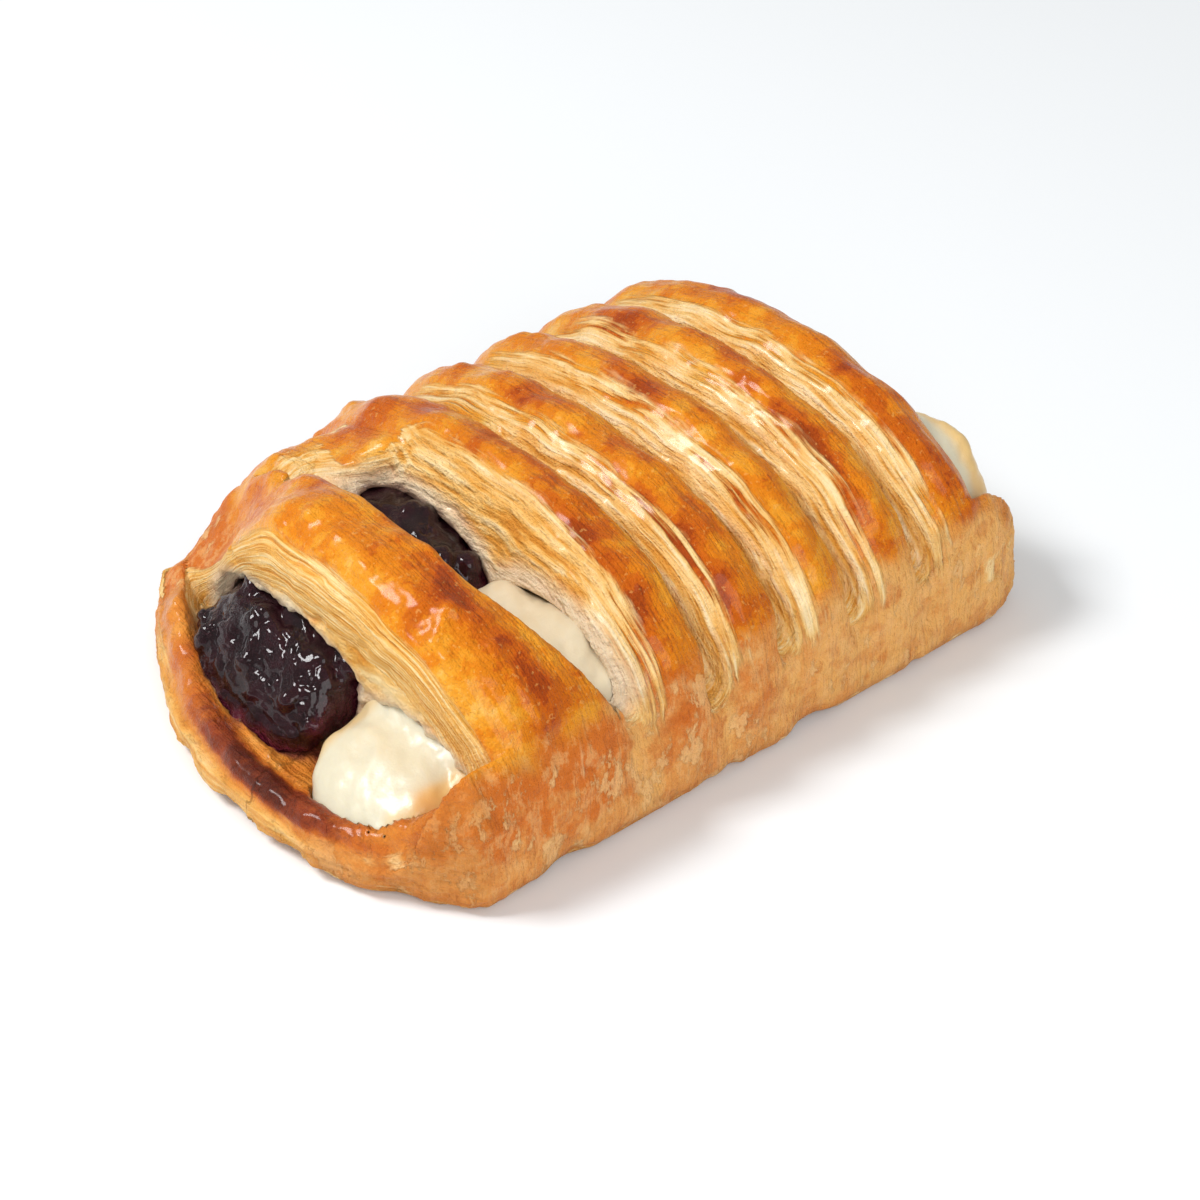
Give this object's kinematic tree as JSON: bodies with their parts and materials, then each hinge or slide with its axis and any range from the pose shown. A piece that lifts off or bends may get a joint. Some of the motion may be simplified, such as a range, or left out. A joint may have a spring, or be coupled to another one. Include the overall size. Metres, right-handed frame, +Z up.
{
  "type": "danish pastry",
  "caption": "Folded flaky danish pastry, open at both ends, with raised baked strips across its top and a pale cream and a dark berry filling.",
  "frame": {"origin": "centre of the underside", "axes": "+X along the pastry from the near mouth to the far one, +Y across it from the fold to the seam side, +Z up"},
  "size_m": [0.1158, 0.081, 0.0362],
  "materials": {
    "crust": "egg-glazed baked crust, satin to glossy on the strips",
    "cream": "smooth moist cream",
    "berry": "wet glossy cooked fruit"
  },
  "bodies": {
    "root": {"dough": "crust", "cream_filling": "cream", "berry_filling": "berry"}
  },
  "joints": []
}
